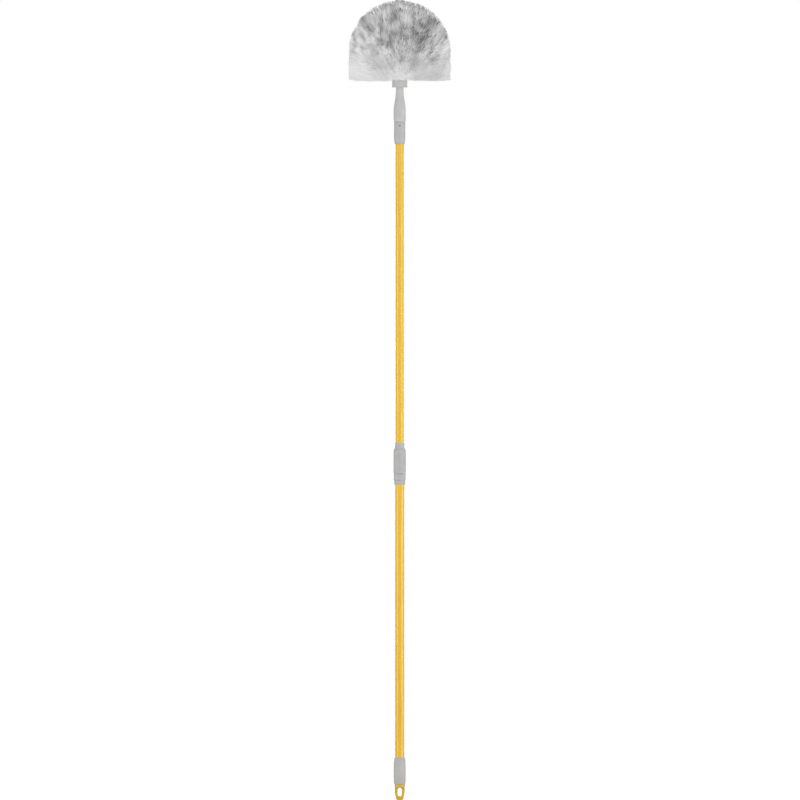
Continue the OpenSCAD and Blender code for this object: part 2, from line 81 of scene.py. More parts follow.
def linear(code: str) -> tuple[float, float, float, float]:
    """Turn an sRGB hex colour into a linear one.

    Args:
        code: Six hex digits, such as "F0BE32".

    Returns:
        Red, green, blue and an alpha of 1.
    """
    parts = [int(code[i:i + 2], 16) / 255 for i in (0, 2, 4)]
    red, green, blue = [c / 12.92 if c <= 0.04045 else ((c + 0.055) / 1.055) ** 2.4 for c in parts]
    return red, green, blue, 1.0


def add(tree: bpy.types.NodeTree, kind: str, inputs: dict | None = None, **settings) -> bpy.types.Node:
    """Add a node to a tree, with its settings, values and links.

    Args:
        tree: The shader or geometry tree.
        kind: The node's type.
        inputs: A value or another node's output for each input, by name or place.
        **settings: Properties of the node itself.

    Returns:
        The new node.
    """
    node = tree.nodes.new(kind)
    for name, value in settings.items():
        setattr(node, name, value)
    for key, value in (inputs or {}).items():
        if isinstance(value, Socket):
            tree.links.new(value, node.inputs[key])
        else:
            node.inputs[key].default_value = value
    return node


def blank(name: str) -> tuple[bpy.types.Material, bpy.types.NodeTree]:
    """Start a material.

    Args:
        name: Its name.

    Returns:
        The material and its empty tree.
    """
    mat = bpy.data.materials.new(name)
    mat.use_nodes = True
    mat.node_tree.nodes.clear()
    return mat, mat.node_tree


class Shade(Enum):
    """Greys and yellows of the moulded pieces."""

    NECK = "C4C4C3"
    FITTING = "B7B7B6"
    GRIP = "BEBCB9"
    LOOP = "D8B436"


@dataclass(frozen=True)
class MouldedPlastic:
    """Injection-moulded polypropylene: satin, with a fine spark-eroded grain and faint flow clouds."""

    name: str
    shade: Shade
    roughness: float = 0.42
    # Spark-eroded grain is about 0.1 mm, drawn at 0.6 mm so that it shows
    grain_mm: float = 0.6
    grain_depth_mm: float = 0.05
    grain_strength: float = 0.6
    # Flow clouds of the melt, which make a wide piece look less even, and their darkest and palest tint
    cloud_mm: float = 26.0
    cloud_tint: tuple[float, float] = (0.93, 1.05)
    # Scuffs of use, and how much they take from or add to the roughness
    scuff_mm: float = 7.0
    scuff_gloss: tuple[float, float] = (-0.06, 0.12)
    ior: float = 1.49

    def material(self) -> bpy.types.Material:
        """Build the material, with clouds in its colour and grain and scuffs in its gloss.

        Returns:
            The finish.
        """
        mat, tree = blank(self.name)
        where = add(tree, WHERE).outputs["Object"]
        clouds = add(tree, NOISE, {"Vector": where, "Scale": 1 / (self.cloud_mm * MM), "Detail": 3.0})
        colour = add(tree, RAMP, {"Fac": clouds.outputs["Fac"]})
        base = linear(self.shade.value)[:3]
        for end, position, tint in zip(colour.color_ramp.elements, (0.3, 0.7), self.cloud_tint):
            end.position = position
            end.color = [min(c * tint, 1) for c in base] + [1]
        scuffs = add(tree, NOISE,
                     {"Vector": where, "Scale": 1 / (self.scuff_mm * MM), "Detail": 4.0, "Roughness": 0.6})
        gloss = add(tree, RANGE,
                    {"Value": scuffs.outputs["Fac"], "From Min": 0.3, "From Max": 0.75,
                     "To Min": self.roughness + self.scuff_gloss[0],
                     "To Max": self.roughness + self.scuff_gloss[1]})
        grain = add(tree, NOISE, {"Vector": where, "Scale": 1 / (self.grain_mm * MM), "Detail": 2.0})
        relief = add(tree, "ShaderNodeBump",
                     {"Height": grain.outputs["Fac"], "Strength": self.grain_strength,
                      "Distance": self.grain_depth_mm * MM})
        skin = add(tree, SKIN,
                   {"Base Color": colour.outputs["Color"], "Roughness": gloss.outputs["Result"],
                    "Normal": relief.outputs["Normal"], "IOR": self.ior})
        add(tree, MATERIAL_END, {"Surface": skin.outputs["BSDF"]})
        return mat


@dataclass(frozen=True)
class EnamelledTube:
    """Baked enamel on thin steel tube: smooth gloss with drawing lines along the pole and small rubs."""

    name: str = "yellow_baked_enamel"
    colour: str = "F2C118"
    rubbed: str = "DDA80E"
    roughness: float = 0.27
    # Lost gloss where the enamel is rubbed
    rubbed_gloss: float = 0.1
    # Drawing lines are about 0.2 mm wide, drawn at 1.6 mm so that they show, and 50 times as long
    streak_mm: float = 1.6
    streak_squeeze: float = 0.02
    # Orange peel of the baked coat, which breaks up its highlights
    peel_mm: float = 2.2
    peel_depth_mm: float = 0.05
    peel_strength: float = 0.12
    ior: float = 1.5
    clear_coat: float = 0.15
    coat_roughness: float = 0.12

    def material(self) -> bpy.types.Material:
        """Build the material, with streaks along Z and an orange-peel skin.

        Returns:
            The finish.
        """
        mat, tree = blank(self.name)
        where = add(tree, WHERE).outputs["Object"]
        squeeze = (1.0, 1.0, self.streak_squeeze)
        along = add(tree, "ShaderNodeMapping", {"Vector": where, "Scale": squeeze}).outputs["Vector"]
        streaks = add(tree, NOISE,
                      {"Vector": along, "Scale": 1 / (self.streak_mm * MM), "Detail": 3.0, "Roughness": 0.6})
        tint = add(tree, RAMP, {"Fac": streaks.outputs["Fac"]})
        for end, position, code in zip(tint.color_ramp.elements, (0.25, 0.55), (self.rubbed, self.colour)):
            end.position = position
            end.color = linear(code)
        peel = add(tree, NOISE, {"Vector": where, "Scale": 1 / (self.peel_mm * MM), "Detail": 1.0})
        relief = add(tree, "ShaderNodeBump",
                     {"Height": peel.outputs["Fac"], "Strength": self.peel_strength,
                      "Distance": self.peel_depth_mm * MM})
        gloss = add(tree, RANGE,
                    {"Value": streaks.outputs["Fac"], "From Min": 0.3, "From Max": 0.7,
                     "To Min": self.roughness + self.rubbed_gloss, "To Max": self.roughness})
        skin = add(tree, SKIN,
                   {"Base Color": tint.outputs["Color"], "Roughness": gloss.outputs["Result"],
                    "Normal": relief.outputs["Normal"], "IOR": self.ior, "Coat Weight": self.clear_coat,
                    "Coat Roughness": self.coat_roughness})
        add(tree, MATERIAL_END, {"Surface": skin.outputs["BSDF"]})
        return mat


@dataclass(frozen=True)
class ZincSteel:
    """Zinc-plated steel of the screw, the tuft anchors and, gone dull, the rivet."""

    name: str = "bright_zinc_steel"
    colour: str = "A9ACB0"
    # Patches of the plating, which shine more or less than each other
    cloud_mm: float = 1.5
    gloss: tuple[float, float] = (0.28, 0.45)

    def material(self) -> bpy.types.Material:
        """Build the material, with the patchy gloss of plated steel.

        Returns:
            The finish.
        """
        mat, tree = blank(self.name)
        where = add(tree, WHERE).outputs["Object"]
        clouds = add(tree, NOISE, {"Vector": where, "Scale": 1 / (self.cloud_mm * MM), "Detail": 3.0})
        gloss = add(tree, RANGE,
                    {"Value": clouds.outputs["Fac"], "From Min": 0.3, "From Max": 0.7,
                     "To Min": self.gloss[0], "To Max": self.gloss[1]})
        skin = add(tree, SKIN,
                   {"Base Color": linear(self.colour), "Metallic": 1.0,
                    "Roughness": gloss.outputs["Result"]})
        add(tree, MATERIAL_END, {"Surface": skin.outputs["BSDF"]})
        return mat


@dataclass(frozen=True)
class CrimpedFilament:
    """Grey PVC filament: slightly glossy plastic whose tone differs from tuft to tuft and hair to hair."""

    name: str = "grey_pvc_filament"
    dark: str = "686868"
    light: str = "ECECEC"
    roughness: float = 0.5
    ior: float = 1.52
    specular: float = 0.3
    # PVC lets light through, which keeps the head from looking hard: the mean path of light in it
    depth_mm: float = 1.2

    def material(self) -> bpy.types.Material:
        """Build the material, which reads each filament's own tone.

        Returns:
            The finish.
        """
        mat, tree = blank(self.name)
        tone = add(tree, "ShaderNodeAttribute", attribute_name="tone")
        colour = add(tree, RAMP, {"Fac": tone.outputs["Fac"]})
        colour.color_ramp.elements[0].color = linear(self.dark)
        colour.color_ramp.elements[1].color = linear(self.light)
        skin = add(tree, SKIN,
                   {"Base Color": colour.outputs["Color"], "Roughness": self.roughness, "IOR": self.ior,
                    "Specular IOR Level": self.specular, "Subsurface Weight": 1.0,
                    "Subsurface Radius": (1.0, 1.0, 1.0), "Subsurface Scale": self.depth_mm * MM})
        add(tree, MATERIAL_END, {"Surface": skin.outputs["BSDF"]})
        return mat


def place(name: str, mesh: bpy.types.Mesh, material: bpy.types.Material) -> bpy.types.Object:
    """Put a finished mesh in the scene with its material and slot.

    Args:
        name: The piece's name.
        mesh: Its mesh, in metres and in place.
        material: Its finish.

    Returns:
        The new object, at the origin.
    """
    piece = bpy.data.objects.new(name, mesh)
    bpy.context.scene.collection.objects.link(piece)
    mesh.materials.clear()
    mesh.materials.append(material)
    return piece


def settled(seedling: bpy.types.Object, name: str) -> bpy.types.Mesh:
    """Turn an object with modifiers into a plain mesh, and remove the object.

    Args:
        seedling: The object, linked to the scene.
        name: Name of the mesh.

    Returns:
        The mesh with all modifiers applied.
    """
    mesh = bpy.data.meshes.new_from_object(seedling.evaluated_get(bpy.context.evaluated_depsgraph_get()))
    bpy.data.objects.remove(seedling)
    mesh.name = name
    return mesh


def started(name: str, sizes: dict) -> tuple[bpy.types.NodeTree, Sockets]:
    """Start a geometry tree, with a named input for each size.

    Args:
        name: Its name.
        sizes: A value for each input, which gives the input its kind.

    Returns:
        The tree and the sockets that its inputs come from.
    """
    kinds = {int: "Int", float: "Float", tuple: "Vector", bpy.types.Material: "Material"}
    tree = bpy.data.node_groups.new(name, "GeometryNodeTree")
    face = tree.interface
    face.new_socket("Geometry", in_out="INPUT", socket_type="NodeSocketGeometry")
    for key, value in sizes.items():
        face.new_socket(key, in_out="INPUT", socket_type="NodeSocket" + kinds[type(value)])
    face.new_socket("Geometry", in_out="OUTPUT", socket_type="NodeSocketGeometry")
    return tree, add(tree, "NodeGroupInput").outputs


def ended(tree: bpy.types.NodeTree, form: Socket, material: Socket) -> None:
    """End a geometry tree, with its instances made real and its material set.

    Args:
        tree: The tree.
        form: The geometry that it gives.
        material: The socket that its material comes from.
    """
    real = add(tree, "GeometryNodeRealizeInstances", {"Geometry": form}).outputs[0]
    dressed = add(tree, "GeometryNodeSetMaterial", {"Geometry": real, "Material": material}).outputs[0]
    add(tree, "NodeGroupOutput", {"Geometry": dressed})


def grown(name: str, seed: bpy.types.Mesh, tree: bpy.types.NodeTree, sizes: dict) -> bpy.types.Mesh:
    """Run a geometry tree over a mesh and keep what it gives as a plain mesh.

    Args:
        name: Name of the new mesh.
        seed: The mesh that it starts from.
        tree: The geometry tree.
        sizes: Values of its named inputs.

    Returns:
        The new mesh.
    """
    seedling = bpy.data.objects.new("seedling", seed)
    bpy.context.scene.collection.objects.link(seedling)
    growth = seedling.modifiers.new("growth", "NODES")
    growth.node_group = tree
    sockets = {s.name: s.identifier for s in tree.interface.items_tree
               if s.item_type == "SOCKET" and s.in_out == "INPUT"}
    for key, value in sizes.items():
        growth[sockets[key]] = value
    return settled(seedling, name)


def turned(name: str, outline: list[tuple[float, float]], sides: int = 96,
           sharp: float = 38.0) -> bpy.types.Mesh:
    """Turn a closed outline around the pole.

    Args:
        name: Name of the mesh.
        outline: Points of (radius, height) in mm, in order around the section.
        sides: Number of facets around.
        sharp: Angle in degrees from which an edge stays sharp.

    Returns:
        A closed mesh in metres, smooth but for its sharp edges.
    """
    form = bmesh.new()
    rings = []
    for radius, height in outline:
        if radius == 0:
            rings.append([form.verts.new((0, 0, height * MM))])
        else:
            rings.append([form.verts.new((radius * MM * math.cos(FULL_TURN * i / sides),
                                          radius * MM * math.sin(FULL_TURN * i / sides), height * MM))
                          for i in range(sides)])
    for low, high in zip(rings, rings[1:] + rings[:1]):
        if len(low) == 1 and len(high) == 1:
            continue
        for i in range(sides):
            j = (i + 1) % sides
            corners = [low[i % len(low)], low[j % len(low)], high[j % len(high)], high[i % len(high)]]
            unique = [v for k, v in enumerate(corners) if v not in corners[:k]]
            form.faces.new(unique)
    bmesh.ops.recalc_face_normals(form, faces=form.faces)
    mesh = bpy.data.meshes.new(name)
    form.to_mesh(mesh)
    form.free()
    mesh.shade_smooth()
    mesh.set_sharp_from_angle(angle=math.radians(sharp))
    return mesh


@dataclass
class BristleHead:
    """Dome of crimped filaments, fanned out from rows of tufts in the ball and trimmed to one outline.

    Its sizes are in mm and its angles in degrees.
    """

    body: str = "brush_head"
    nodes: tuple[str, ...] = ("tufts_crown", "tufts_top", "tufts_shoulder", "tufts_upper", "tufts_lower",
                              "tufts_skirt")
    # Ball that the tufts stand in: its centre's height, its moulded skin, and how far down that reaches
    centre: float = 1643.0
    ball_r: float = 28.4
    skin_t: float = 3.1
    skin_angle: float = 116.0
    skin_steps: int = 28
    # Holes in the ball: pitch from row to row, and how much more along a row
    hole_pitch: float = 20.0
    extra_pitch: float = 4.0
    # Trimmed outline: a dome whose centre lies above the ball's, over a straight skirt
    head_r: float = 120.5
    dome_rise: float = 42.0
    skirt_drop: float = 26.0
    trim_scatter: float = 2.0
    # Filaments of each tuft. A real one is 0.3 mm thick, drawn thicker so that the head is as full
    filaments: int = 190
    segments: int = 11
    thickness: float = 0.75
    wave_pitch: float = 30.0
    wave_height: float = 1.3
    seed: int = 40
    # Each fan: its half widths, its hole, how far its hairs bow, and how far that bow spreads
    fan_wide: float = 16.0
    fan_high: float = 12.0
    hole_spread: float = 7.0
    hole_depth: float = 3.0
    bow: float = 0.4
    bow_spread: float = 20.0
    # Rows from the crown down: where each fan aims, and how far it hangs below its holes
    aims: tuple[float, ...] = (9.0, 27.0, 44.0, 61.0, 78.0, 94.0)
    droop: tuple[float, ...] = (0.0, 0.0, 0.0, 0.0, 4.0, 16.0)
    # Locks: how strongly hairs cling together in them, their width on a ball of radius 1, and the dips
    # that they leave in the trimmed outline
    clinging: tuple[float, ...] = (0.6, 0.6, 0.55, 0.45, 0.3, 0.2)
    lock_size: float = 0.16
    dips: tuple[float, ...] = (5.0, 5.0, 5.0, 4.5, 2.5, 1.5)
    # Tones from 0, dark, to 1, light: each row's own, which grows paler down the head as painted light from
    # below, and how much tufts and hairs differ
    paleness: tuple[float, ...] = (0.63, 0.62, 0.62, 0.67, 0.86, 0.98)
    tuft_contrast: float = 0.2
    hair_contrast: float = 0.2
    # Painted shade: darker blotches where the tufts leave gaps, and darker furrows between the locks
    blotches: tuple[float, ...] = (0.75, 0.75, 0.85, 0.9, 0.4, 0.12)
    blotch_size: float = 24.0
    furrows: tuple[float, ...] = (0.6, 0.7, 0.9, 1.2, 0.9, 0.4)
    # Painted shade: tone lost at the tips of the upper rows, which darkens the top of the outline, and at
    # the feet, where little light reaches
    tip_shade: tuple[float, ...] = (0.2, 0.2, 0.15, 0.1, 0.0, 0.0)
    foot_shade: float = 0.45
    # Side of the head that is darker, and the tone that it loses there
    darker_side: tuple[float, float, float] = (0.55, -0.8, 0.25)
    side_darkening: float = 0.28
    # Share of the painted-shade blotches that the lighter side still shows
    lighter_side_share: float = 0.45
    # Noise between which a dip deepens or a blotch of painted shade turns dark, and the band from the
    # lighter to the darker side of the head, from -1 to 1
    dip_band: tuple[float, float] = (0.45, 0.7)
    blotch_band: tuple[float, float] = (0.4, 0.6)
    side_band: tuple[float, float] = (-0.8, 0.2)
    # Shares of a filament's length: where its crimp is full, where the light reaches, where the painted
    # shade of its tip starts
    crimped_from: float = 0.35
    lit_from: float = 0.45
    shaded_tip_from: float = 0.9
    # What each point hands on to its filament
    kinds: ClassVar[dict[str, str]] = {"foot": "FLOAT_VECTOR", "bend": "FLOAT_VECTOR", "tip": "FLOAT_VECTOR",
                                       "wave": "FLOAT_VECTOR", "waves": "FLOAT", "phase": "FLOAT",
                                       "tone": "FLOAT"}

    def tufts(self, row: int) -> bpy.types.Mesh:
        """Make the points of one row of tufts, with the directions that each fan starts and ends in.

        Args:
            row: Number of the row, from the crown down.

        Returns:
            A mesh of loose points.
        """
        polar = math.radians(self.hole_pitch * (row + 0.5))
        count = max(3, round(360 * math.sin(polar) / (self.hole_pitch + self.extra_pitch)))
        points, starts, aims, tones = [], [], [], []
        for i in range(count):
            turn = math.radians(360 * (i + row / 2) / count)
            out = [Vector((math.sin(p) * math.cos(turn), math.sin(p) * math.sin(turn), math.cos(p)))
                   for p in (polar, polar + math.radians(self.droop[row]), math.radians(self.aims[row]))]
            points.append(out[0] * self.ball_r * MM + Vector((0, 0, self.centre * MM)))
            starts.extend(out[1])
            aims.extend(out[2])
            # Steps of the golden section keep neighbours apart in tone
            spread = (i * 0.618 + row * 0.37) % 1.0 - 0.5
            # Each row's tone is partly the filament's own and partly painted light, paler down the head
            tone = self.paleness[row] + self.tuft_contrast * spread
            # Darker towards one side of the head
            tones.append(tone - self.side_darkening * max(0.0, out[2].dot(Vector(self.darker_side))))
        mesh = bpy.data.meshes.new("tufts")
        mesh.from_pydata(points, [], [])
        mesh.attributes.new("start", "FLOAT_VECTOR", "POINT").data.foreach_set("vector", starts)
        mesh.attributes.new("aim", "FLOAT_VECTOR", "POINT").data.foreach_set("vector", aims)
        mesh.attributes.new("tuft_tone", "FLOAT", "POINT").data.foreach_set("value", tones)
        return mesh

    def sizes(self, row: int, material: bpy.types.Material) -> dict:
        """Give the values of the named inputs of filament_fans.

        Args:
            row: Number of the row, from the crown down.
            material: The filaments' finish.

        Returns:
            A value for each input, in metres and radians.
        """
        return {"Filaments": self.filaments, "Segments": self.segments, "Seed": self.seed + row,
                "Wide": math.radians(self.fan_wide), "High": math.radians(self.fan_high),
                "Head Radius": self.head_r * MM, "Dome Rise": self.dome_rise * MM,
                "Lowest Angle": math.atan2(self.head_r, -self.skirt_drop),
                "Centre Height": self.centre * MM, "Thickness": self.thickness * MM,
                "Wave Pitch": self.wave_pitch * MM, "Wave Height": self.wave_height * MM,
                "Trim Scatter": self.trim_scatter * MM, "Hole Spread": self.hole_spread * MM,
                "Hole Depth": self.hole_depth * MM, "Bow": self.bow, "Bow Spread": self.bow_spread * MM,
                "Dips": self.dips[row] * MM, "Lock Size": self.lock_size, "Clinging": self.clinging[row],
                "Hair Contrast": self.hair_contrast, "Furrow Contrast": self.furrows[row],
                "Blotch Size": self.blotch_size * MM, "Blotch Contrast": self.blotches[row],
                "Tip Shade": self.tip_shade[row], "Foot Shade": self.foot_shade,
                "Lighter Side Share": self.lighter_side_share, "Darker Side": self.darker_side, "Material": material}

    def fan(self, tree: bpy.types.NodeTree, given: Sockets, far: Socket, turn: Socket) -> tuple[Socket, ...]:
        """Spread the filaments of a tuft around its aim.

        Args:
            tree: The tree.
            given: Its named inputs.
            far: Luck of how far out a filament lies.
            turn: Luck of its side.

        Returns:
            The directions around the pole and up to the crown, the offset in the fan, and the tip's way.
        """
        aim = add(tree, READ, {"Name": "aim"}, data_type="FLOAT_VECTOR").outputs[0]
        side = add(tree, VECTOR, {0: (0.0, 0.0, 1.0), 1: aim}, operation="CROSS_PRODUCT").outputs[0]
        side = add(tree, VECTOR, {0: side}, operation="NORMALIZE").outputs[0]
        rise = add(tree, VECTOR, {0: aim, 1: side}, operation="CROSS_PRODUCT").outputs[0]
        # The root of a random share spreads the filaments evenly over a disc
        far = add(tree, MATH, {0: far, 1: 0.5}, operation="POWER").outputs[0]
        turn = add(tree, MATH, {0: turn, 1: FULL_TURN}, operation="MULTIPLY").outputs[0]
        offsets = []
        for axis, trace, width in ((side, "COSINE", "Wide"), (rise, "SINE", "High")):
            part = add(tree, MATH, {0: turn}, operation=trace).outputs[0]
            part = add(tree, MATH, {0: part, 1: far}, operation="MULTIPLY").outputs[0]
            part = add(tree, MATH, {0: part, 1: given[width]}, operation="MULTIPLY").outputs[0]
            offsets.append(add(tree, VECTOR, {0: axis, "Scale": part}, operation="SCALE").outputs[0])
        fan = add(tree, VECTOR, {0: offsets[0], 1: offsets[1]}, operation="ADD").outputs[0]
        way = add(tree, VECTOR, {0: aim, 1: fan}, operation="ADD").outputs[0]
        way = add(tree, VECTOR, {0: way}, operation="NORMALIZE").outputs[0]
        return side, rise, fan, way

    def lock(self, tree: bpy.types.NodeTree, given: Sockets, way: Socket) -> tuple[Socket, Socket]:
        """Pull the filaments into locks, as they cling together.

        Args:
            tree: The tree.
            given: Its named inputs.
            way: The tip's way.

        Returns:
            The tip's new way, and the smooth noise that pulled it.
        """
        scale = add(tree, MATH, {0: 1.0, 1: given["Lock Size"]}, operation="DIVIDE").outputs[0]
        noise = add(tree, NOISE, {"Vector": way, "Scale": scale, "Detail": 1.0}).outputs
        mean = (0.5, 0.5, 0.5)
        pull = add(tree, VECTOR, {0: noise["Color"], 1: mean}, operation="SUBTRACT").outputs[0]
        pull = add(tree, VECTOR, {0: pull, "Scale": given["Clinging"]}, operation="SCALE").outputs[0]
        way = add(tree, VECTOR, {0: way, 1: pull}, operation="ADD").outputs[0]
        way = add(tree, VECTOR, {0: way}, operation="NORMALIZE").outputs[0]
        return way, noise["Fac"]

    def tip(self, tree: bpy.types.NodeTree, given: Sockets, way: Socket, noise: Socket, cut: Socket,
            hub: Socket) -> Socket:
        """Trim the filaments to the outline of the head.

        Args:
            tree: The tree.
            given: Its named inputs.
            way: The tip's way.
            noise: Noise of the locks.
            cut: Luck of how short a filament is cut.
            hub: Centre of the ball.

        Returns:
            The place of the tip.
        """
        # Angles of the tip, folded back at the lower edge so that the skirt ends in one line
        axes = add(tree, "ShaderNodeSeparateXYZ", {0: way}).outputs
        polar = add(tree, MATH, {0: axes[2]}, operation="ARCCOSINE").outputs[0]
        polar = add(tree, MATH, {0: polar, 1: given["Lowest Angle"]}, operation="PINGPONG").outputs[0]
        around = add(tree, MATH, {0: axes[1], 1: axes[0]}, operation="ARCTAN2").outputs[0]
        flat = add(tree, MATH, {0: polar}, operation="SINE").outputs[0]
        tall = add(tree, MATH, {0: polar}, operation="COSINE").outputs[0]

        # Distance to the trimmed outline: a straight skirt below, a dome above
        radius = given["Head Radius"]
        skirt = add(tree, MATH, {0: radius, 1: flat}, operation="DIVIDE").outputs[0]
        across = add(tree, MATH, {0: given["Dome Rise"], 1: flat}, operation="MULTIPLY").outputs[0]
        inner = add(tree, MATH, {0: across, 1: across}, operation="MULTIPLY").outputs[0]
        outer = add(tree, MATH, {0: radius, 1: radius}, operation="MULTIPLY").outputs[0]
        gap = add(tree, MATH, {0: outer, 1: inner}, operation="SUBTRACT").outputs[0]
        root = add(tree, MATH, {0: gap, 1: 0.5}, operation="POWER").outputs[0]
        dome = add(tree, MATH, {0: given["Dome Rise"], 1: tall, 2: root},
                   operation="MULTIPLY_ADD").outputs[0]
        upper = add(tree, MATH, {0: radius, 1: tall}, operation="MULTIPLY").outputs[0]
        in_dome = add(tree, MATH, {0: upper, 1: across}, operation="GREATER_THAN").outputs[0]
        reach = add(tree, "ShaderNodeMix", {"Factor": in_dome, 2: skirt, 3: dome}).outputs[0]
        short = add(tree, MATH, {0: cut, 1: given["Trim Scatter"]}, operation="MULTIPLY").outputs[0]
        reach = add(tree, MATH, {0: reach, 1: short}, operation="SUBTRACT").outputs[0]
        dip = add(tree, RANGE, {"Value": noise, "From Min": self.dip_band[0], "From Max": self.dip_band[1],
                                "To Min": 0.0, "To Max": given["Dips"]}).outputs[0]
        reach = add(tree, MATH, {0: reach, 1: dip}, operation="SUBTRACT").outputs[0]
        cosine = add(tree, MATH, {0: around}, operation="COSINE").outputs[0]
        sine = add(tree, MATH, {0: around}, operation="SINE").outputs[0]
        tip_x = add(tree, MATH, {0: flat, 1: cosine}, operation="MULTIPLY").outputs[0]
        tip_y = add(tree, MATH, {0: flat, 1: sine}, operation="MULTIPLY").outputs[0]
        tip = add(tree, "ShaderNodeCombineXYZ", {0: tip_x, 1: tip_y, 2: tall}).outputs[0]
        tip = add(tree, VECTOR, {0: tip, "Scale": reach}, operation="SCALE").outputs[0]
        return add(tree, VECTOR, {0: tip, 1: hub}, operation="ADD").outputs[0]

    def bowed(self, tree: bpy.types.NodeTree, given: Sockets, fan: Socket,
              tip: Socket) -> tuple[Socket, ...]:
        """Bow the filaments from their holes to their tips.

        Args:
            tree: The tree.
            given: Its named inputs.
            fan: Offset in the fan.
            tip: Place of the tip.

        Returns:
            The foot in its hole, the point that the filament bends towards, and its straight length.
        """
        home = add(tree, "GeometryNodeInputPosition").outputs[0]
        start = add(tree, READ, {"Name": "start"}, data_type="FLOAT_VECTOR").outputs[0]
        foot = add(tree, VECTOR, {0: fan, "Scale": given["Hole Spread"]}, operation="SCALE").outputs[0]
        foot = add(tree, VECTOR, {0: home, 1: foot}, operation="ADD").outputs[0]
        sunk = add(tree, VECTOR, {0: start, "Scale": given["Hole Depth"]}, operation="SCALE").outputs[0]
        foot = add(tree, VECTOR, {0: foot, 1: sunk}, operation="SUBTRACT").outputs[0]
        chord = add(tree, VECTOR, {0: tip, 1: foot}, operation="SUBTRACT").outputs[0]
        length = add(tree, VECTOR, {0: chord}, operation="LENGTH").outputs["Value"]
        lean = add(tree, MATH, {0: length, 1: given["Bow"]}, operation="MULTIPLY").outputs[0]
        bend = add(tree, VECTOR, {0: start, "Scale": lean}, operation="SCALE").outputs[0]
        bend = add(tree, VECTOR, {0: foot, 1: bend}, operation="ADD").outputs[0]
        spray = add(tree, VECTOR, {0: fan, "Scale": given["Bow Spread"]}, operation="SCALE").outputs[0]
        bend = add(tree, VECTOR, {0: bend, 1: spray}, operation="ADD").outputs[0]
        return foot, bend, length

    def first_tone(self, tree: bpy.types.NodeTree, given: Sockets, noise: Socket, shade: Socket) -> Socket:
        """Give each filament its own tone, with painted shade in the furrows between the locks.

        Args:
            tree: The tree.
            given: Its named inputs.
            noise: Noise of the locks.
            shade: Luck of the filament's tone.

        Returns:
            The tone.
        """
        tuft = add(tree, READ, {"Name": "tuft_tone"}, data_type="FLOAT").outputs[0]
        tone = add(tree, MATH, {0: shade, 1: 0.5}, operation="SUBTRACT").outputs[0]
        tone = add(tree, MATH, {0: tone, 1: given["Hair Contrast"], 2: tuft},
                   operation="MULTIPLY_ADD").outputs[0]
        # Painted shade: darker where the lock noise is low, in the furrows between the locks
        furrow = add(tree, MATH, {0: 0.5, 1: noise}, operation="SUBTRACT").outputs[0]
        return add(tree, MATH, {0: furrow, 1: given["Furrow Contrast"], 2: tone},
                   operation="MULTIPLY_ADD").outputs[0]

    def curve(self, tree: bpy.types.NodeTree, given: Sockets, share: Socket) -> Socket:
        """Bend each filament from its foot to its tip, and crimp it across its length.

        Args:
            tree: The tree.
            given: Its named inputs.
            share: Share of the filament's length.

        Returns:
            The place of each point of the filament.
        """
        carried = {name: add(tree, READ, {"Name": name}, data_type=kind).outputs[0]
                   for name, kind in self.kinds.items() if name != "tone"}
        rest = add(tree, MATH, {0: 1.0, 1: share}, operation="SUBTRACT").outputs[0]
        by_foot = add(tree, MATH, {0: rest, 1: rest}, operation="MULTIPLY").outputs[0]
        by_bend = add(tree, MATH, {0: rest, 1: share}, operation="MULTIPLY").outputs[0]
        by_bend = add(tree, MATH, {0: by_bend, 1: 2.0}, operation="MULTIPLY").outputs[0]
        by_tip = add(tree, MATH, {0: share, 1: share}, operation="MULTIPLY").outputs[0]
        parts = [add(tree, VECTOR, {0: carried[name], "Scale": weight}, operation="SCALE").outputs[0]
                 for name, weight in (("foot", by_foot), ("bend", by_bend), ("tip", by_tip))]
        at = add(tree, VECTOR, {0: parts[0], 1: parts[1]}, operation="ADD").outputs[0]
        at = add(tree, VECTOR, {0: at, 1: parts[2]}, operation="ADD").outputs[0]
        angle = add(tree, MATH, {0: share, 1: carried["waves"], 2: carried["phase"]},
                    operation="MULTIPLY_ADD").outputs[0]
        angle = add(tree, MATH, {0: angle, 1: FULL_TURN}, operation="MULTIPLY").outputs[0]
        height = add(tree, MATH, {0: angle}, operation="SINE").outputs[0]
        full = add(tree, RANGE, {"Value": share, "From Min": 0.0, "From Max": self.crimped_from}).outputs[0]
        height = add(tree, MATH, {0: height, 1: full}, operation="MULTIPLY").outputs[0]
        height = add(tree, MATH, {0: height, 1: given["Wave Height"]}, operation="MULTIPLY").outputs[0]
        crimp = add(tree, VECTOR, {0: carried["wave"], "Scale": height}, operation="SCALE").outputs[0]
        return add(tree, VECTOR, {0: at, 1: crimp}, operation="ADD").outputs[0]

    def last_tone(self, tree: bpy.types.NodeTree, given: Sockets, share: Socket, at: Socket,
                  hub: Socket) -> Socket:
        """Darken the filaments with painted shade: in blotches, at the tips of the upper rows and at their
        feet.

        Args:
            tree: The tree.
            given: Its named inputs.
            share: Share of the filament's length.
            at: Place of each of its points.
            hub: Centre of the ball.

        Returns:
            The tone of each point.
        """
